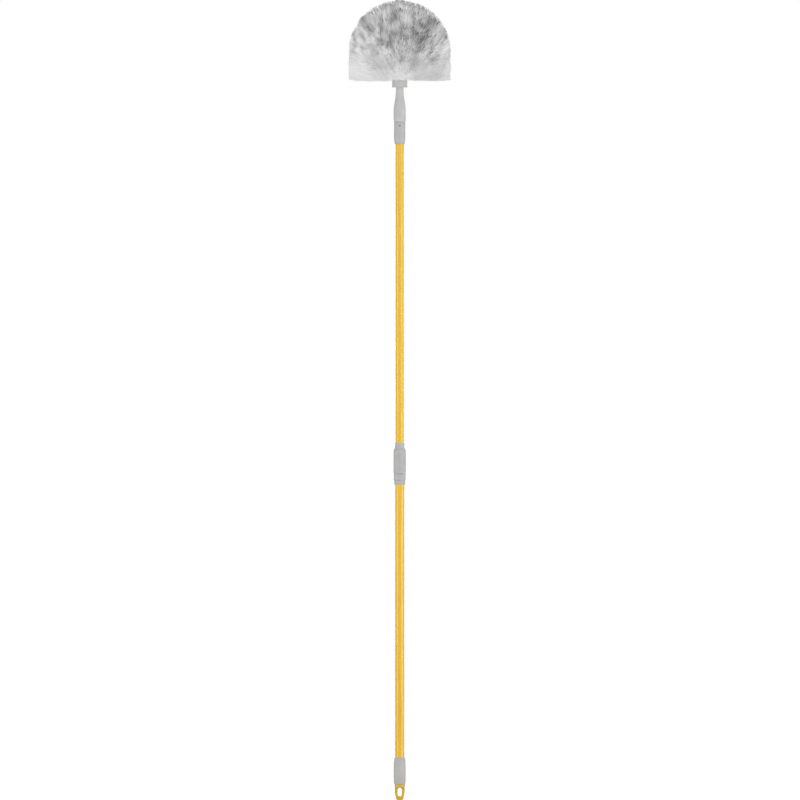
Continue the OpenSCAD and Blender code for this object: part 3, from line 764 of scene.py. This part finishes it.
        # Painted shade in blotches, where the ends of neighbouring tufts leave gaps, strongest on the darker
        # side
        tone = add(tree, READ, {"Name": "tone"}, data_type="FLOAT").outputs[0]
        scale = add(tree, MATH, {0: 1.0, 1: given["Blotch Size"]}, operation="DIVIDE").outputs[0]
        blot = add(tree, NOISE,
                   {"Vector": at, "Scale": scale, "Detail": 2.0, "Distortion": 0.6}).outputs["Fac"]
        low, high = self.blotch_band
        blot = add(tree, RANGE, {"Value": blot, "From Min": low, "From Max": high,
                                 "To Min": 0.5, "To Max": -0.5}).outputs[0]
        from_hub = add(tree, VECTOR, {0: at, 1: hub}, operation="SUBTRACT").outputs[0]
        sideways = add(tree, VECTOR, {0: from_hub, 1: given["Darker Side"]},
                    operation="DOT_PRODUCT").outputs["Value"]
        sideways = add(tree, MATH, {0: sideways, 1: given["Head Radius"]}, operation="DIVIDE").outputs[0]
        low, high = self.side_band
        strength = add(tree, RANGE, {"Value": sideways, "From Min": low, "From Max": high,
                                     "To Min": given["Lighter Side Share"], "To Max": 1.0}).outputs[0]
        strength = add(tree, MATH, {0: strength, 1: given["Blotch Contrast"]},
                       operation="MULTIPLY").outputs[0]
        tone = add(tree, MATH, {0: blot, 1: strength, 2: tone}, operation="MULTIPLY_ADD").outputs[0]
        # Painted shade along the tips of the upper rows
        tip_shading = add(tree, RANGE, {"Value": share, "From Min": self.shaded_tip_from, "From Max": 1.0,
                                 "To Min": 0.0, "To Max": given["Tip Shade"]}).outputs[0]
        tone = add(tree, MATH, {0: tone, 1: tip_shading}, operation="SUBTRACT").outputs[0]
        deep = add(tree, RANGE, {"Value": share, "From Min": 0.0, "From Max": self.lit_from,
                                 "To Min": given["Foot Shade"], "To Max": 0.0}).outputs[0]
        return add(tree, MATH, {0: tone, 1: deep}, operation="SUBTRACT").outputs[0]

    def tree(self, material: bpy.types.Material) -> bpy.types.NodeTree:
        """Build the geometry tree that turns points of tufts into fans of filaments.

        Args:
            material: The filaments' finish.

        Returns:
            The tree of filament_fans.
        """
        tree, given = started("filament_fans", self.sizes(0, material))
        copies = add(tree, "GeometryNodeDuplicateElements",
                     {"Geometry": given["Geometry"], "Amount": given["Filaments"]}, domain="POINT")
        index = add(tree, "GeometryNodeInputIndex").outputs[0]
        luck = []
        for k in range(6):
            seed = add(tree, MATH, {0: given["Seed"], 1: 11.0 * k + 1}, operation="ADD").outputs[0]
            luck.append(add(tree, "FunctionNodeRandomValue", {2: 0.0, 3: 1.0, "ID": index, "Seed": seed},
                            data_type="FLOAT").outputs[1])
        far, turn, cut, swing, shade, phase = luck
        hub = add(tree, "ShaderNodeCombineXYZ", {2: given["Centre Height"]}).outputs[0]
        side, rise, fan, way = self.fan(tree, given, far, turn)
        way, noise = self.lock(tree, given, way)
        tip = self.tip(tree, given, way, noise, cut, hub)
        foot, bend, length = self.bowed(tree, given, fan, tip)

        # Direction in which the filament is crimped, and the number of its waves
        swing = add(tree, MATH, {0: swing, 1: FULL_TURN}, operation="MULTIPLY").outputs[0]
        wave_x = add(tree, MATH, {0: swing}, operation="COSINE").outputs[0]
        wave_y = add(tree, MATH, {0: swing}, operation="SINE").outputs[0]
        wave_x = add(tree, VECTOR, {0: side, "Scale": wave_x}, operation="SCALE").outputs[0]
        wave_y = add(tree, VECTOR, {0: rise, "Scale": wave_y}, operation="SCALE").outputs[0]
        wave = add(tree, VECTOR, {0: wave_x, 1: wave_y}, operation="ADD").outputs[0]
        waves = add(tree, MATH, {0: length, 1: given["Wave Pitch"]}, operation="DIVIDE").outputs[0]

        # Each point carries these to its filament, which starts as a straight line
        tone = self.first_tone(tree, given, noise, shade)
        values = {"foot": foot, "bend": bend, "tip": tip, "wave": wave, "waves": waves, "phase": phase,
                  "tone": tone}
        points = copies.outputs["Geometry"]
        for name, kind in self.kinds.items():
            points = add(tree, STORE, {"Geometry": points, "Name": name, "Value": values[name]},
                         data_type=kind, domain="POINT").outputs[0]
        line = add(tree, "GeometryNodeCurvePrimitiveLine").outputs[0]
        steps = add(tree, MATH, {0: given["Segments"], 1: 1.0}, operation="ADD").outputs[0]
        line = add(tree, "GeometryNodeResampleCurve", {"Curve": line, "Count": steps}).outputs[0]
        hairs = add(tree, "GeometryNodeInstanceOnPoints", {"Points": points, "Instance": line}).outputs[0]
        hairs = add(tree, "GeometryNodeRealizeInstances", {"Geometry": hairs}).outputs[0]
        share = add(tree, "GeometryNodeSplineParameter").outputs["Factor"]
        at = self.curve(tree, given, share)
        hairs = add(tree, "GeometryNodeSetPosition", {"Geometry": hairs, "Position": at}).outputs[0]
        tone = self.last_tone(tree, given, share, at, hub)
        hairs = add(tree, STORE, {"Geometry": hairs, "Name": "tone", "Value": tone},
                    data_type="FLOAT", domain="POINT").outputs[0]

        # Three-sided section, because thousands of hairs have to stay light
        thick = add(tree, MATH, {0: given["Thickness"], 1: 0.5}, operation="MULTIPLY").outputs[0]
        section = add(tree, "GeometryNodeCurvePrimitiveCircle",
                      {"Resolution": 3, "Radius": thick}).outputs[0]
        solid = add(tree, "GeometryNodeCurveToMesh",
                    {"Curve": hairs, "Profile Curve": section, "Fill Caps": True}).outputs[0]
        ended(tree, solid, given["Material"])
        return tree

    def row(self, row: int, tree: bpy.types.NodeTree, material: bpy.types.Material) -> bpy.types.Object:
        """Grow one row of tufts and keep it as a plain mesh.

        Args:
            row: Number of the row, from the crown down.
            tree: The tree of filament_fans.
            material: The filaments' finish.

        Returns:
            The piece, which stands for its CAD node.
        """
        name = "bristles_" + self.nodes[row].removeprefix("tufts_")
        mesh = grown("bristles", self.tufts(row), tree, self.sizes(row, material))
        piece = place(name, mesh, material)
        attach(piece, self.body)
        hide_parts(self.nodes[row])
        return piece

    def skin(self, material: bpy.types.Material) -> bpy.types.Object:
        """Make the moulded skin of the ball that the tufts stand in.

        Args:
            material: Its finish.

        Returns:
            The skin, which rides on the head.
        """
        last = math.radians(self.skin_angle)
        angles = [last * i / self.skin_steps for i in range(self.skin_steps + 1)]
        inside = self.ball_r - self.skin_t
        outline = [(r * math.sin(a), self.centre + r * math.cos(a))
                   for r, run in ((self.ball_r, angles), (inside, angles[::-1])) for a in run]
        piece = place("ball_skin", turned("ball_skin", outline), material)
        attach(piece, self.body)
        return piece

    def build(self, filament: bpy.types.Material, plastic: bpy.types.Material) -> None:
        """Build the filaments row by row, and the skin under them.

        Args:
            filament: The filaments' finish.
            plastic: The skin's finish.
        """
        tree = self.tree(filament)
        for row in range(len(self.nodes)):
            piece = self.row(row, tree, filament)
            log.info("%s: %d faces", piece.name, len(piece.data.polygons))
        log.info("%s", self.skin(plastic).name)


@dataclass
class Pole:
    """Two enamelled steel tubes, drawn as true round sections, with sizes in mm."""

    # Wall of both tubes, and radius of the upper one, which slides in the lower one
    wall: float = 0.5
    inner_r: float = 10.0
    # Lowest and highest point of the rolled stop bead near the foot of the upper tube
    bead: tuple[float, float] = (716.9, 719.9)

    def tube(self, name: str, body: str, node: str, outline: list[tuple[float, float]],
             material: bpy.types.Material) -> bpy.types.Object:
        """Turn one tube and let it stand for its CAD node.

        Args:
            name: The piece's name.
            body: The body that carries it.
            node: The CAD node that it stands for.
            outline: Its section in mm.
            material: Its finish.

        Returns:
            The tube.
        """
        piece = place(name, turned(name, outline), material)
        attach(piece, body)
        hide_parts(node)
        return piece

    def build(self, material: bpy.types.Material) -> None:
        """Build both tubes.

        Args:
            material: Their finish.
        """
        low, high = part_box("outer_tube")
        outer = high.x / MM
        z0, z1 = low.z / MM, high.z / MM
        self.tube("lower_tube", "lower_pole", "outer_tube",
                  [(outer, z0), (outer, z1), (outer - self.wall, z1), (outer - self.wall, z0)], material)
        low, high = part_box("inner_tube")
        bead_r = high.x / MM
        inner, z0, z1 = self.inner_r, low.z / MM, high.z / MM
        foot, head = self.bead
        self.tube("upper_tube", "upper_pole", "inner_tube",
                  [(inner, z0), (inner, foot), (bead_r, foot + bead_r - inner),
                   (bead_r, head - bead_r + inner), (inner, head), (inner, z1),
                   (inner - self.wall, z1), (inner - self.wall, z0)], material)
        log.info("lower_tube and upper_tube")


@dataclass
class HeadScrew:
    """Broom-handle thread between the pole tip and the neck, with round ridges and sizes in mm."""

    # Thread: its core on the stub, its wall in the neck, their ridges, and the height where both start
    pitch: float = 5.0
    turns: float = 4.4
    core_r: float = 10.05
    ridge_r: float = 0.9
    socket_r: float = 11.15
    socket_ridge_r: float = 0.75
    first: float = 1522.0
    steps_a_turn: int = 48
    ridge_sides: int = 10
    # Share of the ridge's length over which it fades at each end, and the size that it fades to
    fade: float = 0.06
    faded: float = 0.15
    # Sleeve over the upper tube, from its foot to the shoulder that the neck stands on
    bore_r: float = 10.05
    foot_r: float = 12.15
    foot_h: float = 4.5
    taper: float = 7.0
    sleeve_r: float = 13.35
    edge: float = 0.6
    shoulder: float = 1518.1
    # Stub over the shoulder: its collar, the step down to the thread's core, its lead-in, and the well
    stub_r: float = 11.0
    collar: float = 1.0
    lead_in: float = 1.5
    well_r: float = 7.0
    web: tuple[float, float] = (1516.1, 1520.1)

    def sizes(self, radius: float, ridge: float, material: bpy.types.Material) -> dict:
        """Give the values of the named inputs of screw_ridge.

        Args:
            radius: Radius of the helix in mm.
            ridge: Radius of the ridge itself in mm.
            material: Its finish.

        Returns:
            A value for each input, in metres.
        """
        return {"Turns": self.turns, "Pitch": self.pitch * MM, "Start Height": self.first * MM,
                "Radius": radius * MM, "Ridge": ridge * MM, "Material": material}

    def tree(self, sizes: dict) -> bpy.types.NodeTree:
        """Build the geometry tree of one helical ridge that fades in and out.

        Args:
            sizes: Values of its named inputs.

        Returns:
            The tree of screw_ridge.
        """
        tree, given = started("screw_ridge", sizes)
        height = add(tree, MATH, {0: given["Turns"], 1: given["Pitch"]}, operation="MULTIPLY").outputs[0]
        helix = add(tree, "GeometryNodeCurveSpiral",
                    {"Resolution": self.steps_a_turn, "Rotations": given["Turns"],
                     "Start Radius": given["Radius"], "End Radius": given["Radius"],
                     "Height": height}).outputs[0]
        lift = add(tree, "ShaderNodeCombineXYZ", {2: given["Start Height"]}).outputs[0]
        helix = add(tree, "GeometryNodeTransform", {"Geometry": helix, "Translation": lift}).outputs[0]
        share = add(tree, "GeometryNodeSplineParameter").outputs["Factor"]
        fade = add(tree, MATH, {0: share, 1: 0.5}, operation="PINGPONG").outputs[0]
        fade = add(tree, RANGE, {"Value": fade, "From Min": 0.0, "From Max": self.fade,
                                 "To Min": self.faded, "To Max": 1.0}).outputs[0]
        section = add(tree, "GeometryNodeCurvePrimitiveCircle",
                      {"Resolution": self.ridge_sides, "Radius": given["Ridge"]}).outputs[0]
        ridge = add(tree, "GeometryNodeCurveToMesh",
                    {"Curve": helix, "Profile Curve": section, "Scale": fade, "Fill Caps": True}).outputs[0]
        ended(tree, ridge, given["Material"])
        return tree

    def ridge(self, name: str, tree: bpy.types.NodeTree, sizes: dict, turn: float, slot: str,
              body: str) -> bpy.types.Object:
        """Wind one ridge and keep it as a plain mesh.

        Args:
            name: The piece's name.
            tree: The tree of screw_ridge.
            sizes: Values of its named inputs.
            turn: Angle by which the ridge starts later, in radians.
            slot: Not used.
            body: The body that carries it.

        Returns:
            The ridge.
        """
        mesh = grown(name, bpy.data.meshes.new("seedling"), tree, sizes)
        mesh.transform(Matrix.Rotation(turn, 4, "Z"))
        mesh.shade_smooth()
        piece = place(name, mesh, sizes["Material"])
        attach(piece, body)
        return piece

    def build(self, tip: bpy.types.Material, neck: bpy.types.Material) -> None:
        """Build the pole tip with its ridge, and the ridge in the neck's socket.

        Args:
            tip: Finish of the pole tip.
            neck: Finish of the neck.
        """
        low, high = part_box("pole_tip")
        z0, z1 = low.z / MM, high.z / MM
        outline = [(self.bore_r, z0), (self.foot_r - self.edge, z0), (self.foot_r, z0 + self.edge),
                   (self.foot_r, z0 + self.foot_h), (self.sleeve_r, z0 + self.foot_h + self.taper),
                   (self.sleeve_r, self.shoulder - self.edge), (self.sleeve_r - self.edge, self.shoulder),
                   (self.stub_r, self.shoulder), (self.stub_r, self.shoulder + self.collar),
                   (self.core_r, self.shoulder + 2 * self.collar), (self.core_r, z1 - self.lead_in),
                   (self.core_r - self.lead_in, z1), (self.well_r, z1), (self.well_r, self.web[1]),
                   (0, self.web[1]), (0, self.web[0]), (self.bore_r, self.web[0])]
        piece = place("tip_sleeve", turned("tip_sleeve", outline), tip)
        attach(piece, "upper_pole")
        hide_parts("pole_tip")
        outside = self.sizes(self.core_r, self.ridge_r, tip)
        inside = self.sizes(self.socket_r, self.socket_ridge_r, neck)
        tree = self.tree(outside)
        self.ridge("stub_thread", tree, outside, 0.0, "grey_plastic", "upper_pole")
        # Half a turn later, the inner ridge lies in the groove of the outer one
        self.ridge("socket_thread", tree, inside, FULL_TURN / 2, "pale_plastic", "brush_head")
        log.info("tip_sleeve, stub_thread and socket_thread")


@dataclass(frozen=True)
class Lamp:
    """Soft square lamp: its place and side in metres, and its power in watts."""

    name: str
    at: tuple[float, float, float]
    side: float
    power: float
    # A fill casts none, because it stands for light that the bristles scatter on to each other
    shadow: bool = False


@dataclass
class Studio:
    """Pale floor, white backdrop, soft lamps and a far camera at the height of the brush's middle."""

    half_angle: float = math.radians(1)
    # Height of the picture at the brush, and the point on the brush that it centres on, in metres
    frame_m: float = 1.872
    middle: float = 0.868
    aside: float = 0.0007
    # Width of the sensor in mm, and the nearest and farthest that the camera sees
    sensor: float = 36.0
    clip: tuple[float, float] = (0.5, 500.0)
    # The floor lies 0.1 mm under the loop
    floor_z: float = -0.0707
    floor_r: float = 2.5
    # The floor is white to the camera, and a little darker where it lights the brush from below
    floor_paint: str = "F4F4F4"
    floor_glow: float = 0.58
    floor_bounce: str = "E0E0E0"
    # Strength of the even light from all around
    sky: float = 0.32
    lamps: tuple[Lamp, ...] = (
        Lamp("key", (0.5, -3.9, 2.0), 1.6, 23, shadow=True),
        Lamp("left_fill", (-4.6, -2.7, 0.4), 3.0, 130),
        Lamp("right_fill", (4.6, -2.7, 0.4), 3.0, 150),
        Lamp("back_fill", (0.0, 5.3, 0.4), 3.0, 140),
    )

    def camera(self) -> None:
        """Set the camera, far enough away for the parallel look of the photograph."""
        lens = bpy.data.cameras.new("camera")
        lens.sensor_width = self.sensor
        lens.lens = self.sensor / 2 / math.tan(self.half_angle)
        lens.clip_start, lens.clip_end = self.clip
        seat = bpy.data.objects.new("camera", lens)
        seat.location = (self.aside, -self.frame_m / 2 / math.tan(self.half_angle), self.middle)
        seat.rotation_euler = (math.pi / 2, 0, 0)
        bpy.context.scene.collection.objects.link(seat)
        bpy.context.scene.camera = seat

    def hang(self, lamp: Lamp) -> None:
        """Hang one lamp so that it looks at the middle of the brush.

        Args:
            lamp: The lamp to hang.
        """
        light = bpy.data.lights.new(lamp.name, "AREA")
        light.size = lamp.side
        light.energy = lamp.power
        light.use_shadow = lamp.shadow
        hung = bpy.data.objects.new(lamp.name, light)
        hung.location = lamp.at
        aim = Vector((0, 0, self.middle)) - Vector(lamp.at)
        hung.rotation_euler = aim.to_track_quat("-Z", "Y").to_euler()
        bpy.context.scene.collection.objects.link(hung)

    def floor(self) -> None:
        """Lay a white disc under the brush."""
        form = bmesh.new()
        bmesh.ops.create_circle(form, cap_ends=True, segments=96, radius=self.floor_r)
        for v in form.verts:
            v.co.z = self.floor_z
        mesh = bpy.data.meshes.new("floor")
        form.to_mesh(mesh)
        form.free()
        mat, tree = blank("floor_white")
        paint = add(tree, "ShaderNodeBsdfDiffuse", {"Color": linear(self.floor_paint)})
        glow = add(tree, "ShaderNodeEmission", {"Color": WHITE, "Strength": self.floor_glow})
        both = add(tree, "ShaderNodeAddShader", {0: paint.outputs[0], 1: glow.outputs[0]})
        plain = add(tree, "ShaderNodeBsdfDiffuse", {"Color": linear(self.floor_bounce)})
        seen = add(tree, "ShaderNodeLightPath").outputs["Is Camera Ray"]
        mixed = add(tree, "ShaderNodeMixShader", {0: seen, 1: plain.outputs[0], 2: both.outputs[0]})
        add(tree, MATERIAL_END, {"Surface": mixed.outputs[0]})
        mesh.materials.append(mat)
        disc = bpy.data.objects.new("floor", mesh)
        bpy.context.scene.collection.objects.link(disc)

    def world(self) -> None:
        """Give the world an even light, and white where the camera, gloss or glass looks at it."""
        world = bpy.data.worlds.new("backdrop")
        world.use_nodes = True
        bpy.context.scene.world = world
        tree = world.node_tree
        tree.nodes.clear()
        paths = add(tree, "ShaderNodeLightPath").outputs
        seen = add(tree, MATH, {0: paths["Is Camera Ray"], 1: paths["Is Transmission Ray"]},
                   operation="MAXIMUM").outputs[0]
        seen = add(tree, MATH, {0: seen, 1: paths["Is Glossy Ray"]}, operation="MAXIMUM").outputs[0]
        white = add(tree, "ShaderNodeBackground", {"Color": WHITE, "Strength": 1.0})
        light = add(tree, "ShaderNodeBackground", {"Color": WHITE, "Strength": self.sky})
        both = add(tree, "ShaderNodeMixShader", {0: seen, 1: light.outputs[0], 2: white.outputs[0]})
        add(tree, "ShaderNodeOutputWorld", {"Surface": both.outputs[0]})

    def build(self) -> None:
        """Build the studio."""
        bpy.context.scene.view_settings.view_transform = "Standard"
        self.camera()
        self.floor()
        self.world()
        for lamp in self.lamps:
            self.hang(lamp)


@dataclass(frozen=True)
class Moulding:
    """A moulded CAD piece that is redrawn with its edges rounded, by so many mm, as the mould does."""

    node: str
    body: str
    finish: str
    slot: str
    edge: float


@dataclass
class Fittings:
    """Moulded and plated CAD pieces: those that show get rounded edges, the rest their finish alone."""

    mouldings: tuple[Moulding, ...] = (
        Moulding("hanging_cap", "lower_pole", "loop", "yellow_plastic", 1.0),
        Moulding("grip_sleeve", "lower_pole", "grip", "grey_plastic", 0.7),
        Moulding("collet_body", "lower_pole", "fitting", "grey_plastic", 0.4),
        Moulding("lock_nut", "clamp_nut", "fitting", "grey_plastic", 0.4),
        Moulding("neck_socket", "brush_head", "neck", "pale_plastic", 0.4),
        Moulding("brush_block", "brush_head", "neck", "pale_plastic", 0.4),
    )
    # CAD nodes that stay as they are, each with its finish
    plain: tuple[tuple[str, str], ...] = (
        ("clamp_cone", "neck"),
        ("guide_bush", "fitting"),
        ("tuft_anchors", "zinc"),
        ("block_screw", "zinc"),
        ("tip_rivet", "dull_zinc"),
    )
    # Points of the CAD mesh that lie closer than this, in mm, are merged, and so are faces that meet at
    # less than this angle, in degrees
    same_point: float = 0.002
    flat: float = 0.3
    # Edges sharper than this are rounded, in degrees, with this many facets
    sharp: float = 30.0
    facets: int = 3

    def soften(self, piece: Moulding, node: bpy.types.Object, material: bpy.types.Material) -> None:
        """Redraw one CAD piece with rounded edges.

        Args:
            piece: What the moulding is and how round its edges are.
            node: Its CAD node, which stays as it is.
            material: Its finish.
        """
        form = bmesh.new()
        form.from_mesh(node.data)
        bmesh.ops.remove_doubles(form, verts=form.verts, dist=self.same_point * MM)
        bmesh.ops.dissolve_limit(form, angle_limit=math.radians(self.flat), verts=form.verts,
                                 edges=form.edges)
        mesh = bpy.data.meshes.new(piece.node)
        form.to_mesh(mesh)
        form.free()
        mesh.transform(node.matrix_world)
        mesh.shade_smooth()
        seedling = bpy.data.objects.new("seedling", mesh)
        bpy.context.scene.collection.objects.link(seedling)
        rounding = seedling.modifiers.new("rounding", "BEVEL")
        rounding.width = piece.edge * MM
        rounding.segments = self.facets
        rounding.limit_method = "ANGLE"
        rounding.angle_limit = math.radians(self.sharp)
        rounding.harden_normals = True
        moulding = place(f"{piece.node}_moulding", settled(seedling, piece.node), material)
        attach(moulding, piece.body)
        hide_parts(piece.node)
        log.info("%s: %d faces", moulding.name, len(moulding.data.polygons))

    def build(self, nodes: dict[str, bpy.types.Object], materials: dict[str, bpy.types.Material]) -> None:
        """Dress the nodes.

        Args:
            nodes: The CAD nodes by name.
            materials: The finishes by name.
        """
        for name, finish in self.plain:
            slots = nodes[name].data.materials
            slots.clear()
            slots.append(materials[finish])
            log.info("%s: %s", name, materials[finish].name)
        for piece in self.mouldings:
            self.soften(piece, nodes[piece.node], materials[piece.finish])


def main() -> None:
    """Build the scene in order."""
    logging.basicConfig(level=logging.INFO, format="%(message)s")
    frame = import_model()
    materials = {
        "neck": MouldedPlastic("pale_polypropylene", Shade.NECK).material(),
        "fitting": MouldedPlastic("grey_polypropylene", Shade.FITTING).material(),
        "grip": MouldedPlastic("grip_polypropylene", Shade.GRIP, roughness=0.5).material(),
        "loop": MouldedPlastic("yellow_polypropylene", Shade.LOOP, roughness=0.3).material(),
        "enamel": EnamelledTube().material(),
        "zinc": ZincSteel().material(),
        "dull_zinc": ZincSteel("dull_zinc_steel", "6E7073").material(),
        "filament": CrimpedFilament().material(),
    }
    Studio().build()
    Fittings().build(frame["nodes"], materials)
    Pole().build(materials["enamel"])
    HeadScrew().build(materials["fitting"], materials["neck"])
    BristleHead().build(materials["filament"], materials["neck"])


if __name__ == "__main__":
    main()
